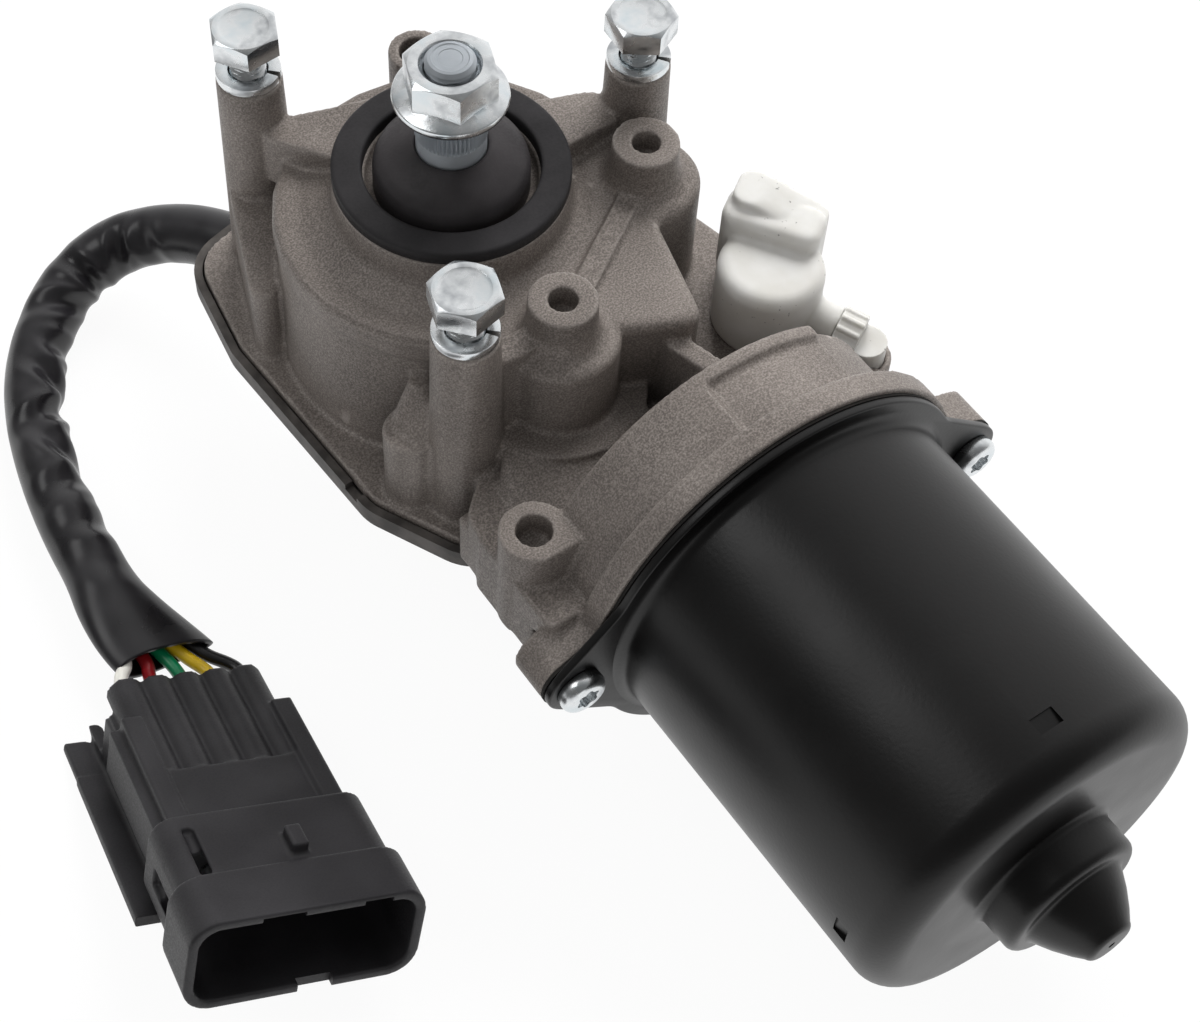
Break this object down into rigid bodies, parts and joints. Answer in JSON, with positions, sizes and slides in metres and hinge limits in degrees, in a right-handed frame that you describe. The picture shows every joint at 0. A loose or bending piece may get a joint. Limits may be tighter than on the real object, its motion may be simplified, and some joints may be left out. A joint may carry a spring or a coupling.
{
  "type": "wiper motor",
  "caption": "Wiper motor with die-cast gear housing, drawn black motor can, sealed output shaft with nut, bracket posts, vent cap and a short sleeved harness with plug.",
  "frame": {"origin": "on the output shaft's axis, in the middle of the crank's splined seat", "axes": "+Z along the output shaft towards its nut, -Y along the motor can away from the gears, +X to the side of the vent cap"},
  "size_m": [0.1551, 0.2149, 0.0977],
  "materials": {
    "cast_housing": "die-cast, shot-blasted, warm grey",
    "cover_sheet": "pressed sheet, dull grey",
    "painted_can": "semi-gloss black paint on deep-drawn steel",
    "zinc_fastener": "bright zinc plate",
    "shaft_steel": "ground steel",
    "lamination_steel": "stacked steel sheets",
    "gear_plastic": "moulded acetal, off-white",
    "contact_brass": "stamped, plain",
    "bush_bronze": "sintered, oiled",
    "winding_copper": "enamelled copper wire",
    "commutator_copper": "turned copper",
    "ferrite": "pressed ferrite",
    "carbon": "carbon brush",
    "grey_rubber": "soft matt rubber",
    "black_rubber": "matt rubber",
    "black_plastic": "moulded, fine grain",
    "white_plastic": "natural, slightly translucent",
    "sleeve_pvc": "soft PVC sleeve, glossy",
    "terminal_tin": "tin plate",
    "wire_white": "insulation",
    "wire_red": "insulation",
    "wire_green": "insulation",
    "wire_yellow": "insulation",
    "wire_black": "insulation"
  },
  "bodies": {
    "motor_unit": {"gear_housing": "cast_housing", "gear_cover": "cover_sheet", "cover_gasket": "black_rubber", "cover_screws": "zinc_fastener", "park_contacts": "black_plastic", "output_bushes": "bush_bronze", "thrust_washer": "shaft_steel", "hub_ring_seal": "grey_rubber", "shaft_seal": "black_rubber", "gear_pins": "shaft_steel", "pin_circlips": "zinc_fastener", "worm_end_bush": "bush_bronze", "drive_end_bush": "bush_bronze", "nose_bush": "bush_bronze", "thrust_ball": "shaft_steel", "motor_can": "painted_can", "can_gasket": "black_rubber", "can_screws": "zinc_fastener", "field_magnets": "ferrite", "magnet_clips": "shaft_steel", "brush_plate": "black_plastic", "brushes": "carbon", "brush_springs": "shaft_steel", "mounting_bolts": "zinc_fastener", "spring_washers": "zinc_fastener", "vent_cap": "white_plastic", "vent_plug": "white_plastic", "harness_grommet": "black_rubber", "harness_sleeve": "sleeve_pvc", "sleeve_end": "sleeve_pvc", "connector_housing": "black_plastic", "connector_terminals": "terminal_tin", "wire_white": "wire_white", "wire_red": "wire_red", "wire_green": "wire_green", "wire_yellow": "wire_yellow", "wire_black": "wire_black"},
    "output": {"output_shaft": "shaft_steel", "output_gear": "gear_plastic", "park_disc": "contact_brass", "gear_retainer": "shaft_steel"},
    "nut": {"flange_nut": "zinc_fastener"},
    "front_gear": {"front_intermediate_gear": "gear_plastic"},
    "rear_gear": {"rear_intermediate_gear": "gear_plastic"},
    "armature": {"armature_shaft": "shaft_steel", "armature_core": "lamination_steel", "armature_windings": "winding_copper", "commutator": "commutator_copper"}
  },
  "joints": [
    {"name": "output_spin", "type": "hinge", "parent": "motor_unit", "child": "output", "pos_m": [0, 0, 0], "axis": [0, 0, 1], "continuous": true},
    {"name": "nut_lift", "type": "slide", "parent": "output", "child": "nut", "axis": [0, 0, 1], "range_m": [0, 0.03]},
    {"name": "front_gear_spin", "type": "hinge", "parent": "motor_unit", "child": "front_gear", "pos_m": [-0.0005, -0.031, -0.0425], "axis": [0, 0, 1], "continuous": true},
    {"name": "rear_gear_spin", "type": "hinge", "parent": "motor_unit", "child": "rear_gear", "pos_m": [0.0285, -0.0122, -0.0425], "axis": [0, 0, 1], "continuous": true},
    {"name": "armature_spin", "type": "hinge", "parent": "motor_unit", "child": "armature", "pos_m": [0.014, -0.096, -0.0455], "axis": [0, 1, 0], "continuous": true}
  ],
  "couplings": [
    {"joint": "front_gear_spin", "follows": "output_spin", "ratio": -4.1667},
    {"joint": "rear_gear_spin", "follows": "output_spin", "ratio": -4.1667},
    {"joint": "armature_spin", "follows": "output_spin", "ratio": 43.75}
  ]
}
